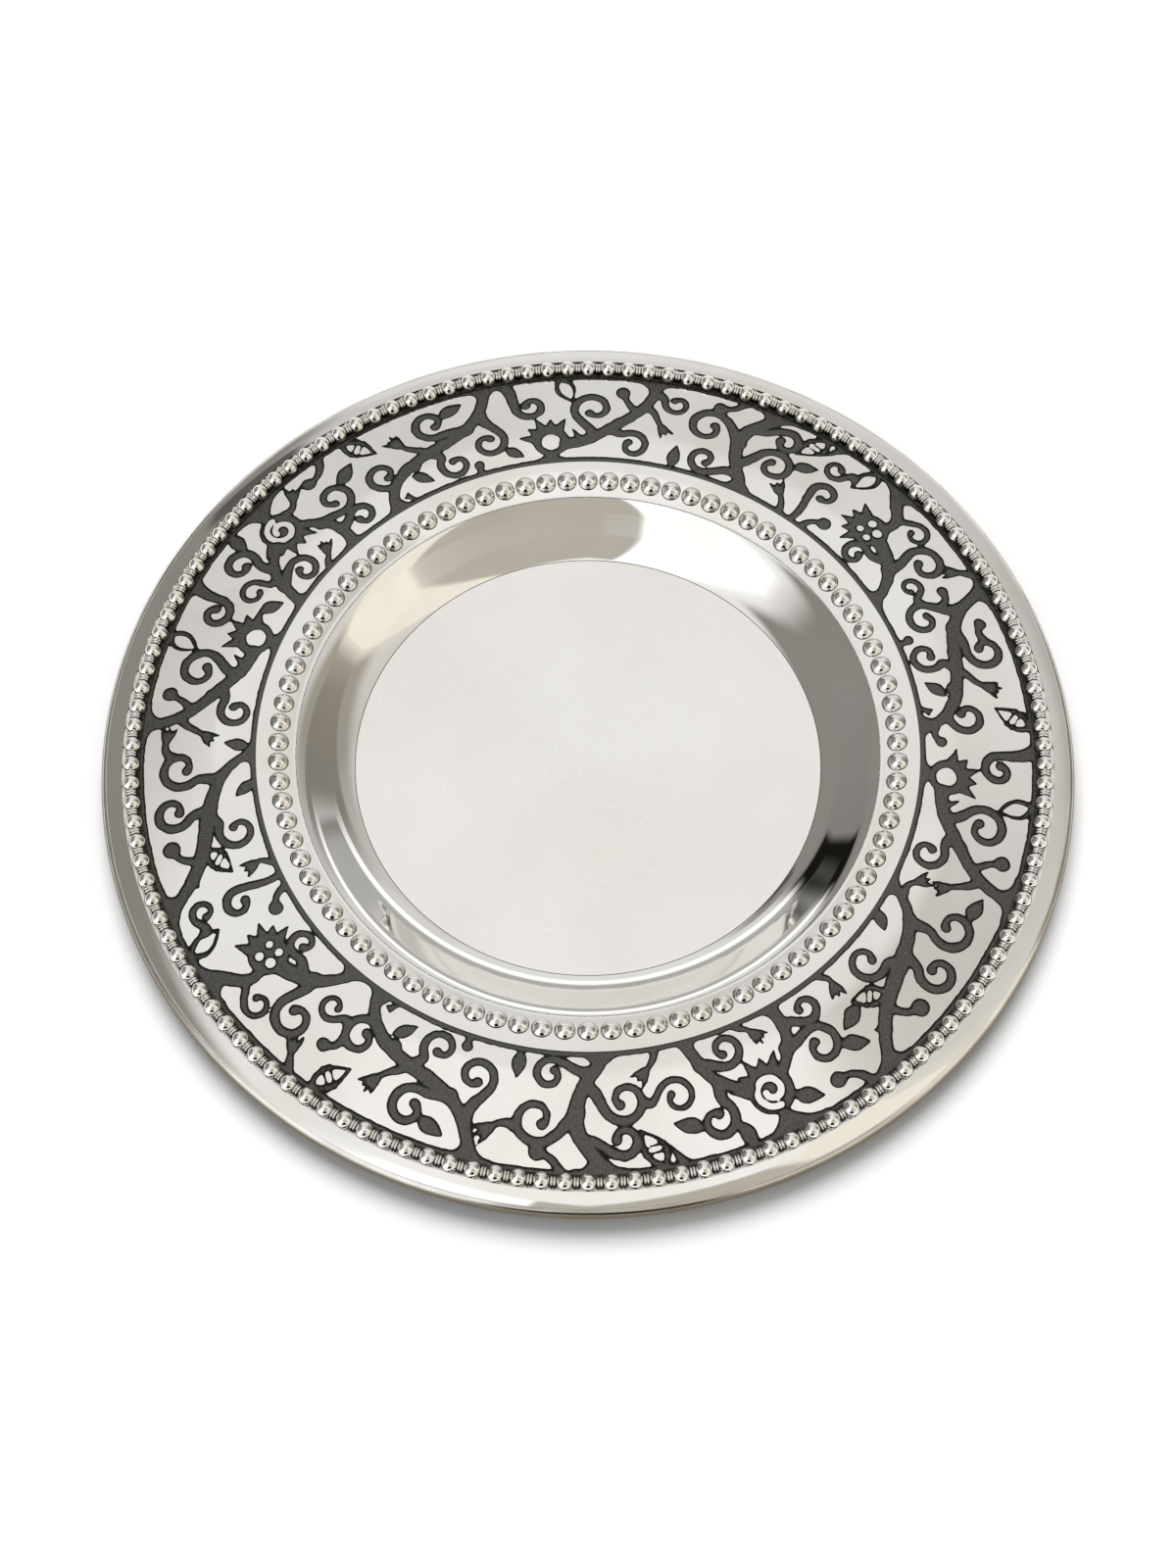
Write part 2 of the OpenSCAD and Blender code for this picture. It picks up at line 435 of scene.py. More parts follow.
def plate():
    """The pressed sheet, black in the channel with old polish and painted shade under the bead wire, and
    browned around the outside of the rolled edge with painted shade and dull polish
    """
    runs = plate_runs()
    verts, faces, sharp, owners = lathe([run for run, _ in runs], 480, closed=False)
    obj = piece("plate", verts, [f[::-1] for f in faces])
    sharpen(obj, sharp)
    radius = np.hypot(verts[:, 0], verts[:, 1])
    # Painted shade with old polish: black in the channel under the bead wire, fading out over the bevel's
    # foot
    grime_and_shade = np.interp(radius, [BAND_OUT, BAND_OUT + BALL_R, CHANNEL_R, BEVEL_R + 0.7], [0, 0.8, 0.32, 0])
    # Painted shade around the underside of the rolled edge, below its middle, which mirrors the shadowed
    # table
    dull_and_shaded = np.clip((ROLL_C[1] + 0.8 * ROLL_R - verts[:, 2]) / (0.3 * ROLL_R), 0, 1)
    grime_and_shade = np.where(radius > CHANNEL_R + 0.5, dull_and_shaded, grime_and_shade)
    paint(obj, "patina_and_shade", np.where((verts[:, 2] > CHANNEL_Z - 0.01) | (radius > BEVEL_R + 1), grime_and_shade, 0))
    materials = (polished_silver("polished_plate", patina_and_shade=True), satin_silver("satin_floor"),
                 grime_and_shade_metal(), satin_silver("underside", 0.22), shaded_worn_edge())
    for material in materials:
        obj.data.materials.append(material)
    obj.data.polygons.foreach_set("material_index", np.array([m for _, m in runs])[owners])
    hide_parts("plate_body")


# ---- The ornament: a signed distance to the etched ground, in mm, on the unrolled band ----

# The unrolled band: the radius at which its scale is true, its length, where it starts and its height
MID_R = 62.5
STRIP_W = 2 * math.pi * MID_R
FOOT = MID_R * math.log(BAND_IN / MID_R)
HIGH = MID_R * math.log(BAND_OUT / MID_R) - FOOT
CELLS = 14
CELL_W = STRIP_W / CELLS
FIELD_STEP = 0.33
# A distance above any that matters, the size of the fillets between shapes, and the borders' widths
FAR = 9.0
BLEND = 0.5
LINE_IN, LINE_OUT = 1.1, 0.6


def turned(x, y, angle):
    """The point turned by this angle about the origin"""
    c, s = point(angle)
    return x * c - y * s, x * s + y * c


class Field:
    """Distances on a grid over the unrolled band: below 0 the metal is etched away.
    x runs clockwise around the plate and y outwards, and scale is true along the middle."""

    def __init__(self):
        self.nx, self.ny = round(STRIP_W / FIELD_STEP), round(HIGH / FIELD_STEP)
        self.dx, self.dy = STRIP_W / self.nx, HIGH / self.ny
        height = self.dy * np.arange(self.ny + 1)
        borders = np.minimum(height - LINE_IN, HIGH - LINE_OUT - height)
        self.d = np.repeat(borders[:, None], self.nx, 1)
        self.origin, self.flip = 0.0, 1

    def enter(self, origin, flip):
        """Later shapes are placed from origin, and mirrored if flip is -1"""
        self.origin, self.flip = origin, flip

    def near(self, points, pad):
        """The points in the strip's own frame, and the grid places and cells within pad of them"""
        x, y = np.array(points, float).T
        x = self.origin + self.flip * x
        columns = np.arange(math.floor((x.min() - pad) / self.dx), math.ceil((x.max() + pad) / self.dx) + 1)
        first, last = math.floor((y.min() - pad) / self.dy), math.ceil((y.max() + pad) / self.dy)
        rows = np.arange(max(0, first), min(self.ny, last) + 1)
        gx, gy = np.meshgrid(columns * self.dx, rows * self.dy)
        return x, y, gx, gy, np.ix_(rows, columns % self.nx)

    def merge(self, at, d, cut):
        """Joins a shape to the ground with a soft fillet, or with cut leaves metal standing there"""
        old = self.d[at]
        if cut:
            self.d[at] = np.maximum(old, -d)
            return
        h = np.clip(0.5 + 0.5 * (old - d) / BLEND, 0, 1)
        self.d[at] = old + (d - old) * h - BLEND * h * (1 - h)

    def stroke(self, points, widths, cut=False):
        """A line of changing width through the points"""
        half = np.asarray(widths, float) / 2
        x, y, gx, gy, at = self.near(points, half.max() + 4)
        best = np.full(gx.shape, FAR)
        for k in range(len(x) - 1):
            t, gap = along_segment(gx, gy, x[k:k + 2], y[k:k + 2])
            best = np.minimum(best, gap - (half[k] + t * (half[k + 1] - half[k])))
        self.merge(at, best, cut)

    def disc(self, x, y, radius, cut=False):
        """A round spot, as a line too short to see"""
        self.stroke([(x, y), (x + 0.001, y)], [2 * radius] * 2, cut)

    def shape(self, outline, cut=False, soft=0.0):
        """A filled outline, grown by soft"""
        x, y, gx, gy, at = self.near(outline, 4)
        inside, best = np.zeros(gx.shape, bool), np.full(gx.shape, FAR)
        for k in range(len(x)):
            ends_x, ends_y = x[[k - 1, k]], y[[k - 1, k]]
            best = np.minimum(best, along_segment(gx, gy, ends_x, ends_y)[1])
            spans = (ends_y[0] > gy) != (ends_y[1] > gy)
            rise = ends_y[1] - ends_y[0] or 1e-9
            inside ^= spans & (gx < ends_x[0] + (gy - ends_y[0]) * (ends_x[1] - ends_x[0]) / rise)
        self.merge(at, np.where(inside, -best, best) - soft, cut)


def along_segment(gx, gy, x, y):
    """How far along a segment each place's nearest point is, from 0 to 1, and its distance"""
    vx, vy = x[1] - x[0], y[1] - y[0]
    t = np.clip(((gx - x[0]) * vx + (gy - y[0]) * vy) / max(vx * vx + vy * vy, 1e-9), 0, 1)
    return t, np.hypot(gx - x[0] - t * vx, gy - y[0] - t * vy)


def bezier(a, leave, b, arrive, pull=0.42):
    """Fifteen points from a, leaving along one heading, to b, arriving along another"""
    reach = pull * math.dist(a, b)
    a, b = np.array(a, float), np.array(b, float)
    c, d = a + point(leave, reach), b - point(arrive, reach)
    t = np.linspace(0, 1, 15)[:, None]
    return (1 - t) ** 3 * a + 3 * (1 - t) ** 2 * t * c + 3 * (1 - t) * t ** 2 * d + t ** 3 * b


def vine(f, a, leave, b, arrive, start, end, pull=0.42):
    """A curved line whose width changes from start to end"""
    line = bezier(a, leave, b, arrive, pull)
    f.stroke(line, np.linspace(start, end, len(line)))


def scroll(f, a, leave, centre, radius, enter, hand=1, start=2.4, line=1.6):
    """A tendril from a that winds around centre, which it meets at angle enter, and ends in a knob"""
    centre, radius = np.array(centre, float), 1.14 * radius
    lead = bezier(a, leave, centre + point(enter, radius), enter + 90 * hand)
    k = np.arange(1, 29) / 28
    sweep, tightest = (335, 0.32) if radius > 2.3 else (275, 0.45)
    shrink = radius * (1 - (1 - tightest) * k ** 1.2)
    coil = [centre + point(enter + hand * sweep * u, r) for u, r in zip(k, shrink)]
    t = np.linspace(0, 1, len(lead))
    widths = np.concatenate([start + (line - start) * t ** 0.7, line * (1 - 0.3 * k)])
    f.stroke(np.vstack([lead, coil]), widths)
    f.disc(*coil[-1], 0.5 * line)


def lens(base, heading, length, width, bend=0.0):
    """Outline of a pointed leaf, bent to its left"""
    t = np.linspace(0, 1, 13)
    half = width / 2 * np.sin(np.pi * t ** 0.85)
    curve = bend * length * t ** 2
    sides = list(zip(length * t, curve + half)) + list(zip(length * t, curve - half))[-2:0:-1]
    return [np.array(base) + turned(u, v, heading) for u, v in sides]


def leaf(f, base, heading, length, width, bend=0.0, veins=None):
    """A leaf; with veins, its middle is left standing and that many veins cross it"""
    f.shape(lens(base, heading, length, width, bend), soft=0.1)
    if veins is None:
        return
    base = np.array(base)
    f.shape(lens(base + point(heading, 0.18 * length), heading, 0.7 * length, 0.6 * width, bend), cut=True)
    for k in range(veins):
        u = length * (0.4 + 0.16 * k)
        middle = bend * u * u / length
        ends = [turned(u + 0.3 * side, middle + 0.5 * side * width, heading) for side in (-1, 1)]
        f.stroke([base + end for end in ends], [0.3, 0.3])


def berry(f, a, leave, centre, arrive, radius=1.2):
    """A round spot at the end of a stalk"""
    vine(f, a, leave, centre, arrive, 1.5, 0.9)
    f.disc(*centre, radius)


def crown(f, centre, heading, near, far, spread, points):
    """A jagged fan of points, from radius near to radius far"""
    centre = np.array(centre, float)
    outline = [centre]
    for k in range(2 * points + 1):
        lean = spread * (k / points - 1)
        reach = (far if k % 2 else near) * (1 - 0.14 * (k % 4 == 3))
        outline.append(centre + point(heading + lean, reach))
    f.shape(outline, soft=0.12)


def bud(f, a, leave, b, heading, size, points=3):
    """A curved stalk from a to a bud at b that opens in points"""
    vine(f, a, leave, b, heading, 1.6, 1.0)
    f.disc(*(np.array(b) + point(heading, 0.3 * size)), 0.34 * size)
    crown(f, b, heading, 0.68 * size, 1.12 * size, 38, points)


def fruit(f, centre, radius, heading, points=5):
    """A round fruit with a jagged crown"""
    f.disc(*centre, radius)
    crown(f, centre, heading, 1.08 * radius, 1.72 * radius, 66, points)


def thorn(f, base, heading, length):
    """A straight spike"""
    roots = [np.array(base) + point(heading + side, 0.7) for side in (-90, 90)]
    f.shape([roots[0], np.array(base) + point(heading, length), roots[1]], soft=0.12)


def hill(f, x, width, height, lean=0.0, outer=False):
    """A hollow-sided mound of ground that grows from one border"""
    t = np.linspace(0, 1, 9)
    left = [(x - width / 2 * (1 - u), height * u ** 2.2) for u in t]
    right = [(x + width / 2 * u, height * (1 - u) ** 2.2) for u in t[1:]]
    mound = [(u + lean * v / height, v + 0.5) for u, v in left + right]
    outline = mound + [(x + width / 2, 0), (x - width / 2, 0)]
    f.shape([(u, HIGH - v) if outer else (u, v) for u, v in outline], soft=0.15)


def sweep_cell(f):
    """A long vine that rises to the right"""
    hill(f, 2.4, 7.5, 3.2, 1.5)
    vine(f, (3.2, 2.0), 60, (14.6, 9.4), 18, 1.7, 2.7)
    vine(f, (14.6, 9.4), 18, (26.6, 18.7), 62, 2.7, 1.8)
    hill(f, 26.4, 7, 2.8, -1.5, outer=True)
    scroll(f, (7.0, 6.6), 75, (4.4, 12.8), 2.9, -35)
    scroll(f, (12.2, 8.6), 60, (11.6, 14.4), 2.5, -50)
    scroll(f, (13.8, 9.0), -30, (17.6, 4.8), 2.9, 115, -1)
    leaf(f, (19.0, 10.8), -34, 6.4, 3.3, 0.1, veins=2)
    berry(f, (20.6, 12.4), 110, (17.4, 15.6), 165, 1.35)
    bud(f, (25.6, 0.8), 110, (24.6, 3.4), 75, 2.8)
    leaf(f, (8.2, 0.8), 40, 4.4, 2.2, 0.15)
    thorn(f, (22.6, 14.2), -20, 2.4)


def ring_cell(f):
    """A crowned fruit with a round hole, that a vine leaves to the right"""
    hill(f, 6.8, 9.0, 2.6)
    fruit(f, (7.2, 5.0), 3.4, 112)
    f.disc(7.2, 4.8, 1.75, cut=True)
    vine(f, (10.0, 4.2), 5, (19.4, 9.0), 40, 2.6, 2.2)
    vine(f, (19.4, 9.0), 40, (24.8, 18.7), 85, 2.2, 1.8)
    hill(f, 24.4, 6.5, 2.4, outer=True)
    scroll(f, (14.4, 5.4), 60, (15.0, 12.0), 2.9, 205, -1)
    scroll(f, (18.0, 7.6), -35, (22.2, 4.2), 2.6, 115, -1)
    scroll(f, (1.0, 18.6), -60, (4.6, 13.4), 2.2, 185)
    leaf(f, (9.4, 18.8), -62, 5.6, 3.2, -0.1, veins=0)
    berry(f, (22.0, 12.0), 130, (19.6, 15.8), 110, 1.2)
    bud(f, (23.6, 13.4), -30, (26.6, 9.6), -55, 2.6)
    thorn(f, (12.6, 5.2), 120, 2.6)


def coiled_cell(f):
    """A round fruit with a spiral in it, that hangs from the outer border between two vines"""
    centre = np.array((13.4, 12.6))
    fruit(f, centre, 3.5, 248)
    hill(f, 14.4, 9.0, 3.4, -1.0, outer=True)
    k = np.linspace(0, 1, 31)
    f.stroke([centre + point(80 + 450 * u, 2.5 - 1.6 * u) for u in k], np.full(31, 0.95), cut=True)
    vine(f, (10.6, 11.2), 205, (3.0, 1.0), -110, 1.8, 2.3, 0.5)
    scroll(f, (6.6, 9.0), 120, (4.6, 14.0), 2.4, -40)
    scroll(f, (4.4, 5.2), 10, (9.2, 4.0), 2.5, 100, -1)
    vine(f, (16.2, 10.8), -40, (19.8, 1.0), -100, 1.8, 2.4)
    hill(f, 3.2, 6, 2.4, 0.6)
    hill(f, 19.4, 7, 2.8, 0.8)
    scroll(f, (18.4, 8.0), 10, (23.4, 10.4), 2.8, 265)
    scroll(f, (20.2, 4.6), -10, (24.8, 4.0), 2.0, 105, -1)
    bud(f, (12.6, 0.8), 70, (14.6, 2.8), 60, 2.8, 4)
    berry(f, (26.6, 18.6), -110, (22.6, 15.8), 175, 1.2)
    leaf(f, (8.8, 18.8), -120, 4.2, 2.2, 0.15)


def tree_cell(f):
    """A stem that bends from a mound, with tendrils to both sides"""
    hill(f, 11.6, 9.5, 3.6, 1.0)
    vine(f, (12.2, 2.8), 50, (15.8, 10.2), 84, 2.0, 2.6)
    vine(f, (15.8, 10.2), 84, (11.8, 18.7), 118, 2.6, 2.0)
    hill(f, 12.2, 7.5, 3.0, 1.0, outer=True)
    scroll(f, (14.4, 6.0), 150, (8.4, 8.6), 2.8, 70)
    scroll(f, (15.8, 10.6), 40, (21.6, 11.6), 3.0, 115, -1)
    scroll(f, (13.2, 3.6), 15, (20.2, 4.4), 2.4, 255)
    scroll(f, (14.8, 14.4), 200, (9.0, 14.4), 1.9, 80, start=1.5)
    bud(f, (2.4, 0.8), 80, (4.2, 4.0), 45, 2.8)
    leaf(f, (3.6, 18.9), -68, 6.4, 3.4, 0.1, veins=2)
    berry(f, (17.6, 18.7), -60, (21.0, 16.2), -10, 1.2)
    leaf(f, (26.0, 0.8), 100, 5.0, 2.4, -0.12)
    thorn(f, (1.2, 18.6), -60, 3.4)


def wave_cell(f):
    """A vine that falls to the right, with tendrils above and below it"""
    vine(f, (1.8, 18.7), -75, (11.4, 9.6), -12, 1.8, 2.4)
    vine(f, (11.4, 9.6), -12, (25.8, 0.9), -70, 2.4, 2.0)
    hill(f, 2.0, 6, 2.6, 0.5, outer=True)
    hill(f, 25.2, 7.5, 3.0, -1.2)
    scroll(f, (6.8, 11.0), 10, (11.8, 14.6), 2.6, 262)
    scroll(f, (3.8, 13.4), -95, (4.0, 7.0), 2.7, 150)
    scroll(f, (13.6, 9.0), -60, (11.0, 4.4), 2.6, 45, -1)
    scroll(f, (18.0, 7.4), 40, (23.4, 8.8), 2.7, 270)
    leaf(f, (19.4, 5.8), 215, 4.4, 2.2, 0.15)
    bud(f, (14.6, 9.2), 60, (17.8, 12.6), 65, 2.8, 4)
    leaf(f, (25.4, 18.9), -118, 6.4, 3.3, -0.1, veins=2)
    berry(f, (7.0, 0.8), 70, (7.0, 2.6), 100, 1.0)
    thorn(f, (22.4, 2.6), 235, 2.8)


def dotted_cell(f):
    """A fruit with four dots, that lies on its side at the end of a vine"""
    hill(f, 25.0, 8.0, 3.4, -1.5)
    vine(f, (24.2, 2.6), 125, (15.4, 8.8), 165, 2.0, 2.8)
    fruit(f, (12.2, 9.2), 3.3, 195)
    for u, v, radius in ((1.1, 1.2, 0.6), (0.9, -1.2, 0.7), (-1.0, 1.3, 0.65), (-1.2, -0.8, 0.8)):
        x, y = turned(u, v, 170)
        f.disc(12.2 + x, 9.2 + y, radius, cut=True)
    vine(f, (13.6, 11.8), 75, (9.6, 18.7), 110, 1.8, 2.2)
    hill(f, 10.0, 7.5, 3.0, 1.0, outer=True)
    scroll(f, (20.4, 6.4), 70, (22.6, 12.6), 2.8, 195, -1)
    scroll(f, (18.2, 7.2), 240, (14.4, 3.6), 2.2, 70)
    scroll(f, (13.2, 14.2), 30, (17.2, 15.0), 1.7, 120, -1, 1.4, 1.1)
    berry(f, (3.0, 0.8), 75, (6.0, 4.0), 20, 1.35)
    leaf(f, (5.6, 18.9), -98, 5.8, 3.2, -0.12, veins=0)
    bud(f, (27.0, 18.7), -110, (25.8, 16.6), -115, 2.4)
    scroll(f, (0.4, 0.8), 75, (2.0, 8.8), 2.0, 185, -1, 1.5)


def fill_gaps(f, widest=2.3):
    """Grows a curl, a leaf, a bud or a berry from the closest vine into each gap that is still wide"""
    f.enter(0, 1)
    k = 0
    while f.d.max() >= widest:
        j, i = np.unravel_index(np.argmax(f.d), f.d.shape)
        gap = f.d[j, i]
        headings = range(0, 360, 10)
        middle = np.array([i * f.dx, j * f.dy])
        reached = [middle + point(h, gap + 0.3) for h in headings]
        depths = [f.d[int(np.clip(round(y / f.dy), 0, f.ny)), round(x / f.dx) % f.nx] for x, y in reached]
        back = headings[int(np.argmin(depths))]
        base = middle + point(back, gap + 0.25)
        hand = 1 if k % 2 else -1
        if gap > 2.7:
            scroll(f, base, back + 180 + 50 * hand, middle, 0.55 * gap, back + 60 * hand, hand, 1.6, 1.2)
        elif k % 5 == 1:
            berry(f, base, back + 180 + 40 * hand, middle, back + 180 - 40 * hand, 0.42 * gap)
        elif k % 5 == 3:
            bud(f, base, back + 180 + 40 * hand, middle, back + 180 - 30 * hand, 1.05 * gap)
        else:
            leaf(f, base, back + 180 - 24 * hand, 1.6 * gap + 0.3, 0.95 * gap, 0.2 * hand)
        k += 1


def ornament():
    """The whole band: fourteen cells in turn, some of them mirrored, and edges made ragged by the acid"""
    f = Field()
    cells = ((ring_cell, 1), (sweep_cell, 1), (coiled_cell, -1), (tree_cell, 1), (wave_cell, 1),
             (dotted_cell, -1), (sweep_cell, -1), (ring_cell, -1), (coiled_cell, 1), (wave_cell, -1),
             (ring_cell, 1), (tree_cell, -1), (dotted_cell, 1), (wave_cell, 1))
    for k, (cell, flip) in enumerate(cells):
        f.enter((k + (flip < 0)) * CELL_W, flip)
        cell(f)
    fill_gaps(f)
    ragged = np.random.default_rng(5).normal(size=f.d.shape)
    for _ in range(2):
        ragged = ragged + sum(np.roll(ragged, step, axis) for step in (1, -1) for axis in (0, 1))
    f.d += 0.032 * ragged / ragged.std()
    return f


# ---- The etched band ----


def on_band(x, y, depth):
    """Points of the unrolled band on the flange, at this depth below its skin"""
    angle, r = -x / MID_R, MID_R * np.exp((y + FOOT) / MID_R)
    return np.stack([r * np.cos(angle), r * np.sin(angle), flange_z(r, depth)], -1)


def standing_metal(f):
    """The islands' outline by marching squares: the points, the faces, and the steps that need a wall"""
    ny, nx = f.d.shape
    grid = np.arange(ny * nx).reshape(ny, nx)
    east, north = grid + ny * nx, grid + 2 * ny * nx
    right = np.roll(f.d, -1, 1)
    up = np.vstack([f.d[1:], f.d[-1:]])
    gy, gx = np.meshgrid(np.arange(ny) * 1.0, np.arange(nx) * 1.0, indexing="ij")

    def crossing(a, b):
        return np.clip(a / np.where(np.abs(a - b) < 1e-9, 1e-9, a - b), 0.02, 0.98)

    x = np.concatenate([gx, gx + crossing(f.d, right), gx]).ravel() * f.dx
    y = np.concatenate([gy, gy, gy + crossing(f.d, up)]).ravel() * f.dy

    low, high = slice(0, ny - 1), slice(1, ny)
    next_grid, next_north = np.roll(grid, -1, 1), np.roll(north, -1, 1)
    # Round each square from its lower left: corner, crossing, corner, crossing and so on
    around = [grid[low], east[low], next_grid[low], next_north[low],
              next_grid[high], east[high], grid[high], north[low]]
    solid = f.d > 0
    corners = [solid[low], np.roll(solid, -1, 1)[low], np.roll(solid, -1, 1)[high], solid[high]]
    code = sum(c.astype(int) << k for k, c in enumerate(corners))
    faces, steps = [], []
    for case in range(1, 16):
        where = code == case
        if not where.any():
            continue
        kept = [bool(case >> k & 1) for k in range(4)]
        if case in (5, 10):
            first = 0 if case == 5 else 1
            rings = [[(2 * k - 1) % 8, 2 * k, 2 * k + 1] for k in (first, first + 2)]
        else:
            crossed = [kept[k] != kept[(k + 1) % 4] for k in range(4)]
            rings = [[e for e in range(8) if (crossed if e % 2 else kept)[e // 2]]]
        for ring in rings:
            faces += np.stack([around[e][where] for e in ring], 1).tolist()
            for a, b in zip(ring, ring[1:] + ring[:1]):
                if a % 2 and b % 2:
                    steps += np.stack([around[a][where], around[b][where]], 1).tolist()
    return x, y, faces, steps


def islands(f):
    """The bright metal that the etching left standing, as closed solids that stand in the ground"""
    x, y, faces, steps = standing_metal(f)
    used = np.unique(np.concatenate([np.array(face) for face in faces]))
    index = dict(zip(used.tolist(), range(len(used))))
    top = [[index[v] for v in face] for face in faces]
    count = len(used)
    rim = sorted({index[v] for step in steps for v in step})
    verts = np.vstack([on_band(x[used], y[used], 0), on_band(x[used], y[used], ETCH_DEPTH + 0.03)])
    walls = [[index[b], index[a], index[a] + count, index[b] + count] for a, b in steps]
    bottom = [[v + count for v in face[::-1]] for face in top]
    obj = piece("band_islands", verts, top + bottom + walls)
    ring = np.zeros(2 * count, int)
    ring[rim] = 1
    ring[np.array(rim) + count] = 2
    sharpen(obj, ring)
    obj.data.materials.append(polished_silver("band_polish", 0.07, 0.16, 0.000012))
    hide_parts("etched_band")


def ground(f):
    """The band's body, whose top is the etched ground. Each point carries its gap from the islands."""
    rows = f.ny + 1
    gx, gy = np.meshgrid(np.arange(f.nx) * f.dx, np.arange(rows) * f.dy)
    grid = np.arange(f.nx * rows).reshape(rows, f.nx)
    count = grid.size
    verts = np.vstack([on_band(gx.ravel(), gy.ravel(), ETCH_DEPTH), on_band(gx[0], gy[0], BAND_T),
                       on_band(gx[0], gy[-1], BAND_T)])
    inner, outer = count + np.arange(f.nx), count + f.nx + np.arange(f.nx)

    def strip(low, high):
        return np.stack([low, high, np.roll(high, -1), np.roll(low, -1)], 1).tolist()

    faces = [face for k in range(f.ny) for face in strip(grid[k], grid[k + 1])]
    faces += strip(grid[-1], outer) + strip(outer, inner) + strip(inner, grid[0])
    obj = piece("band_ground", verts, [face[::-1] for face in faces])
    paint(obj, "gap", np.concatenate([-f.d.ravel(), np.zeros(2 * f.nx)]))
    edge = np.zeros(len(verts), int)
    for k, row in enumerate((grid[0], grid[-1], inner, outer)):
        edge[row] = k + 1
    sharpen(obj, edge)
    obj.data.materials.append(etched_ground())
    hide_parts("etched_band")


# ---- The beads ----


def ball():
    """One ball of the wire, cut flat where it is soldered down, black at its ends and foot with painted
    shade between the parts and patina
    """
    sunk = -math.degrees(math.asin(BALL_LIFT / BALL_R))
    runs = [arc(np.zeros(2), BALL_R, 90, sunk, 12), [point(sunk, BALL_R), np.array([0, -BALL_LIFT])]]
    runs[0][0][0] = 0
    verts, faces, _, _ = lathe(runs, 24, closed=False)
    along = np.abs(verts[:, 1]) / BALL_R
    return verts, faces, 1.1 * along ** 8 + 1.5 * np.clip(-0.1 - verts[:, 2], 0, 1)


def reel():
    """One thin disc across the wire, with a rounded rim, blacker towards its foot with painted shade and
    patina
    """
    sides = [[np.array([0, z]), np.array([REEL_R - 0.12, z])] for z in (-REEL_T / 2, REEL_T / 2)]
    rim = arc(np.array([REEL_R - 0.15, 0]), 0.16, -90, 90, 6)
    rim[0], rim[-1] = sides[0][1], sides[1][1]
    verts, faces, _, _ = lathe([sides[0], rim, sides[1][::-1]], 20, closed=False)
    verts = verts[:, [0, 2, 1]] * (1, 1, -1)
    return verts, faces, np.clip(0.8 - 0.8 * verts[:, 2] / REEL_R, 0, 1)


def bead_wire():
    """Balls with two thin reels between neighbours, on a core, lying in the channel"""
    pitch = 360 / BALL_COUNT
    ring_r, height = BAND_OUT + BALL_R, CHANNEL_Z + BALL_LIFT
    seat = (ring_r, 0, height)
    verts, faces, ball_patina_and_shade = ball()
    balls, ball_faces = turned_copies(verts + seat, faces, pitch * np.arange(BALL_COUNT))

    verts, faces, reel_patina_and_shade = reel()
    places = [pitch * (k + 0.5) + side * 0.65 * math.degrees(REEL_T / ring_r)
              for k in range(BALL_COUNT) for side in (-1, 1)]
    reels, reel_faces = turned_copies(verts + seat, faces, places)

    core_line = [np.array([ring_r, height]) + p for p in arc(np.zeros(2), CORE_R, 0, 360, 8)]
    core, core_faces, _, _ = lathe([core_line], 2 * BALL_COUNT, closed=True)
    start = len(balls)
    faces = ball_faces + [[v + start for v in face] for face in reel_faces]
    start += len(reels)
    faces += [[v + start for v in face[::-1]] for face in core_faces]
    obj = piece("bead_wire", np.vstack([balls, reels, core]), faces)
    # Painted shade with patina: the balls' ends and feet, the reels' feet and the whole core blackened
    all_patina_and_shade = (np.tile(ball_patina_and_shade, BALL_COUNT), np.tile(reel_patina_and_shade, 2 * BALL_COUNT), np.ones(len(core)))
    paint(obj, "patina_and_shade", np.concatenate(all_patina_and_shade))
    obj.data.materials.append(polished_silver("bead_polish", 0.02, 0.06, patina_and_shade=True))
    obj.data.set_sharp_from_angle(angle=math.radians(50))
    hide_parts("outer_bead_wire")


def domes():
    """The inner ring of separate domes, each soldered down with a dark line around its foot: painted
    contact shade with patina
    """
    radius = (DOME_R ** 2 + DOME_H ** 2) / (2 * DOME_H)
    foot = math.degrees(math.asin((DOME_H - radius) / radius))
    cap = arc(np.array([0, DOME_H - radius]), radius, 90, -foot + 4, 12)
    cap[0][0] = 0
    bead = ((0.01, 0.09), (0.05, 0.03), (0.11, -0.01), (0.1, -0.08))
    solder = [cap[-1]] + [np.array([DOME_R + out, z]) for out, z in bead]
    verts, faces, _, _ = lathe([cap, solder, [solder[-1], np.array([0, -0.1])]], 28, closed=False)
    # Painted contact shade with patina on the foot and its solder
    patina_and_shade = np.where(verts[:, 2] < 0.1, 1.0, 0.0)
    lean, seat = point(90 + DOME_LEAN), CROWN_C + point(90 + DOME_LEAN, CROWN_R)
    x, y, z = verts.T
    verts = np.stack([seat[0] + x * lean[1] + z * lean[0], y, seat[1] - x * lean[0] + z * lean[1]], 1)
    verts, faces = turned_copies(verts, faces, 360 / DOME_COUNT * np.arange(DOME_COUNT))
    obj = piece("inner_domes", verts, faces)
    paint(obj, "patina_and_shade", np.tile(patina_and_shade, DOME_COUNT))
    obj.data.materials.append(polished_silver("dome_polish", 0.015, 0.035, patina_and_shade=True))
    obj.data.set_sharp_from_angle(angle=math.radians(50))
    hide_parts("inner_beads")


# ---- The studio ----

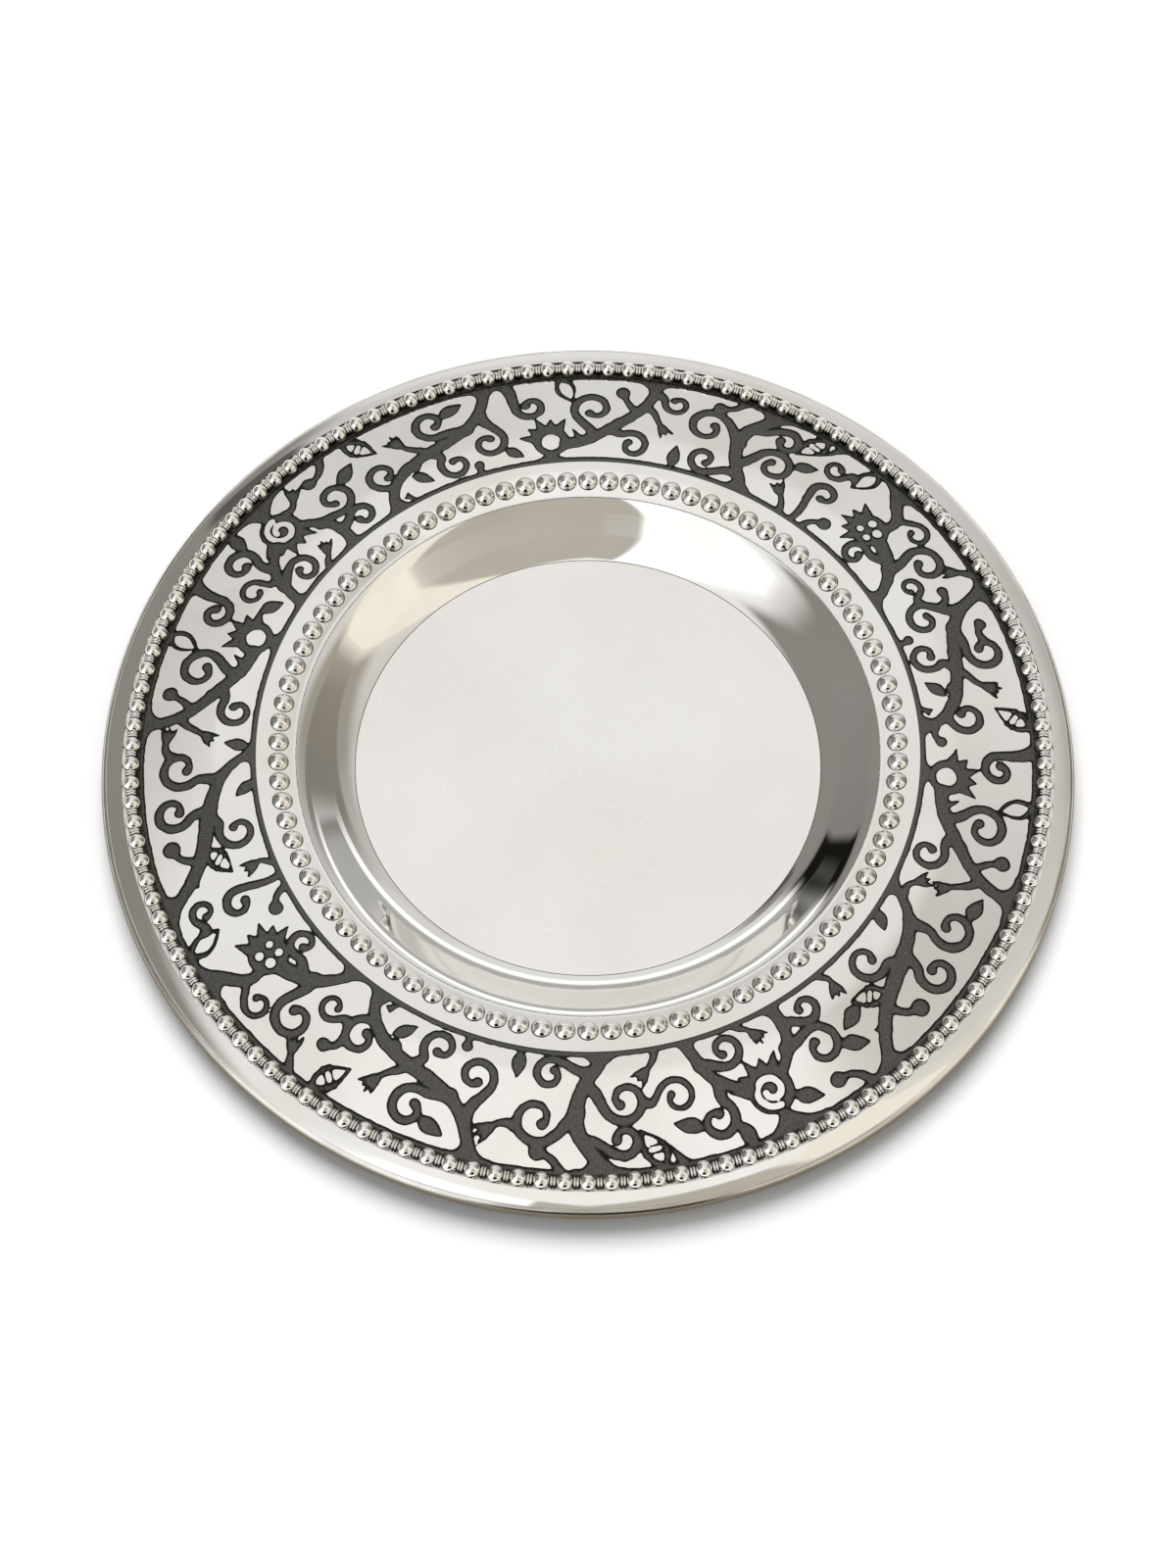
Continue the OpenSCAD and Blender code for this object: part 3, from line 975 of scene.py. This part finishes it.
# What the metal mirrors, from the lowest part of the room upwards: azimuth in degrees from +X, 8-bit tone
# and warmth. A tone above 255 is a light.
LOW_ROOM = (
    (0, 90, 10), (30, 110, 8), (45, 145, 5), (56, 175, 4), (76, 228, 3), (112, 222, 3), (119, 42, 6),
    (196, 48, 8), (204, 245, 0), (236, 245, 0), (240, 36, 10), (262, 26, 10), (296, 26, 10), (302, 190, 16),
    (348, 170, 16))
MID_ROOM = (
    (0, 200, 18), (6, 148, 20), (32, 134, 12), (44, 134, 6), (62, 214, 4), (92, 230, 2), (116, 218, 2),
    (121, 130, 5), (188, 145, 5), (200, 224, 0), (204, 268, 0), (269, 268, 0), (271, 240, 6),
    (318, 235, 12), (334, 238, 18), (338, 248, 20))
UPPER_ROOM = (
    (0, 238, 18), (6, 165, 18), (32, 158, 10), (46, 180, 6), (66, 209, 4), (92, 218, 3), (106, 206, 3),
    (180, 200, 5), (198, 226, 2), (203, 268, 0), (262, 268, 0), (266, 200, 14), (318, 205, 16),
    (333, 212, 17), (336, 250, 20))
HIGH_ROOM = (
    (0, 228, 14), (10, 214, 8), (35, 200, 6), (48, 222, 4), (62, 232, 3), (125, 232, 3), (190, 236, 3),
    (200, 246, 1), (206, 268, 0), (249, 268, 0), (251, 183, 14), (318, 184, 16), (331, 188, 17),
    (335, 244, 18))
# The tone and warmth of the things in the room
CEILING = (246, 4)
LEFT_WALL = (139, 7)
DOORWAY = (92, 4)
CHAIR = (24, 4)
SILL = (176, 2)
STRIP_LIGHT = (268, 0)
CAMERA_STAND = (24, 8)


def room_ramp(n, azimuth, stops):
    """The room's colour at one height, by azimuth"""
    ramp = n.add("ValToRGB", {0: azimuth})
    elements = ramp.color_ramp.elements
    while len(elements) < len(stops):
        elements.new(0.5)
    for element, (angle, tone, warm) in zip(elements, stops):
        element.position = angle / 360
        element.color = grey(tone, warm)
    return ramp.outputs["Color"]


def studio():
    """A pale room with a dark, leaning left wall that the metal mirrors, and plain white for the camera.
    Azimuth runs from 0 to 1 around a whole turn, and height is in degrees above the horizon."""
    world = bpy.data.worlds.new("studio")
    bpy.context.scene.world = world
    n = Nodes(world)
    split = n.add("SeparateXYZ", {0: n.add("TexCoord").outputs["Generated"]})
    x, y, z = split.outputs
    turn = n.math("DIVIDE", n.math("ARCTAN2", y, x), 2 * math.pi)
    azimuth = n.math("FRACT", n.math("ADD", turn, 1.0))
    height = n.math("MULTIPLY", n.math("ARCSINE", z), 180 / math.pi)

    def hang(room, across, middle, half, colour):
        """The room with something in it, where across is 1 and the height is within half of middle"""
        mask = n.math("MULTIPLY", across, n.within(height, middle, half))
        return n.mix(mask, room, grey(*colour))

    levels = (LOW_ROOM, MID_ROOM, UPPER_ROOM, HIGH_ROOM)
    low, mid, upper, high = (room_ramp(n, azimuth, stops) for stops in levels)
    room = n.mix(n.scale_to(height, 5, 9), low, mid)
    room = n.mix(n.scale_to(height, 26, 30), room, upper)
    room = n.mix(n.scale_to(height, 36, 50), room, high)
    edge = n.scale_to(n.math("ADD", x, n.math("MULTIPLY", z, 0.5)), -0.12, 0.03, 1.0, 0.0)
    side = n.math("MULTIPLY", n.scale_to(azimuth, 0.285, 0.31), n.scale_to(azimuth, 0.51, 0.55, 1.0, 0.0))
    wall = n.math("MULTIPLY", n.math("MULTIPLY", edge, side), n.scale_to(height, 23, 28))
    room = n.mix(wall, room, grey(*LEFT_WALL))
    room = hang(room, n.within(azimuth, 0.322, 0.016), 33.5, 2.6, DOORWAY)
    room = hang(room, n.within(azimuth, 0.352, 0.021), 14, 9, CHAIR)
    back = n.math("MULTIPLY", n.scale_to(azimuth, 0.1, 0.15), n.scale_to(azimuth, 0.325, 0.345, 1.0, 0.0))
    room = hang(room, back, 7, 4.5, SILL)
    room = hang(room, back, 15.5, 4, STRIP_LIGHT)
    room = hang(room, n.within(azimuth, 0.757, 0.073), 20, 19, CAMERA_STAND)
    past = n.math("SUBTRACT", y, n.math("MULTIPLY", n.math("ABSOLUTE", x), 0.42))
    above = n.math("MULTIPLY", n.scale_to(height, 72, 76), n.scale_to(past, -0.226, -0.206))
    room = n.mix(above, room, grey(*CEILING))
    seen = n.add("LightPath").outputs["Is Camera Ray"]
    background = n.tree.nodes["Background"]
    n.put(background.inputs["Color"], n.mix(seen, room, (1, 1, 1, 1)))


def lamp(name, azimuth, elevation, strength, spread, tint):
    """A sun that lights the floor and casts the shadow, without showing in the metal"""
    light = bpy.data.lights.new(name, "SUN")
    light.energy = strength
    light.angle = math.radians(spread)
    light.color = tint
    obj = bpy.data.objects.new(name, light)
    flat = point(azimuth, math.cos(math.radians(elevation)))
    towards = Vector((flat[0], flat[1], math.sin(math.radians(elevation))))
    obj.rotation_euler = towards.to_track_quat("Z", "Y").to_euler()
    obj.visible_glossy = False
    bpy.context.scene.collection.objects.link(obj)


def table_top():
    """The plain pale surface that the plate stands on"""
    mesh = bpy.data.meshes.new("table_top")
    half = 6.0
    corners = [(-half, -half, 0), (half, -half, 0), (half, half, 0), (-half, half, 0)]
    mesh.from_pydata(corners, [], [(0, 1, 2, 3)])
    obj = bpy.data.objects.new("table_top", mesh)
    bpy.context.scene.collection.objects.link(obj)
    n = metal("table_white")
    n.set(Base_Color=(0.72, 0.73, 0.75, 1), Roughness=0.9, Specular_IOR_Level=0.0)
    mesh.materials.append(n.owner)


def camera():
    """Looks along +Y from 62.7 degrees above the table at the height of the rolled edge"""
    lens = bpy.data.cameras.new("camera")
    lens.lens = 63.25
    lens.sensor_width = 36
    lens.shift_y = -0.0216
    lens.clip_start = 0.01
    obj = bpy.data.objects.new("camera", lens)
    distance, elevation = 0.4432, 62.7
    back = point(elevation, distance)
    obj.location = (0, -back[0], back[1] + ROLL_C[1] * MM)
    obj.rotation_euler = (math.radians(90 - elevation), 0, 0)
    bpy.context.scene.collection.objects.link(obj)
    bpy.context.scene.camera = obj


camera()
table_top()
studio()
lamp("key", 99, 64, 2.95, 44, (1.0, 0.985, 0.96))
bpy.context.scene.view_settings.view_transform = "Standard"

plate()
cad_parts["rim_wire"].data.materials.clear()
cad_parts["rim_wire"].data.materials.append(drawn_steel())
pattern = ornament()
islands(pattern)
ground(pattern)
bead_wire()
domes()
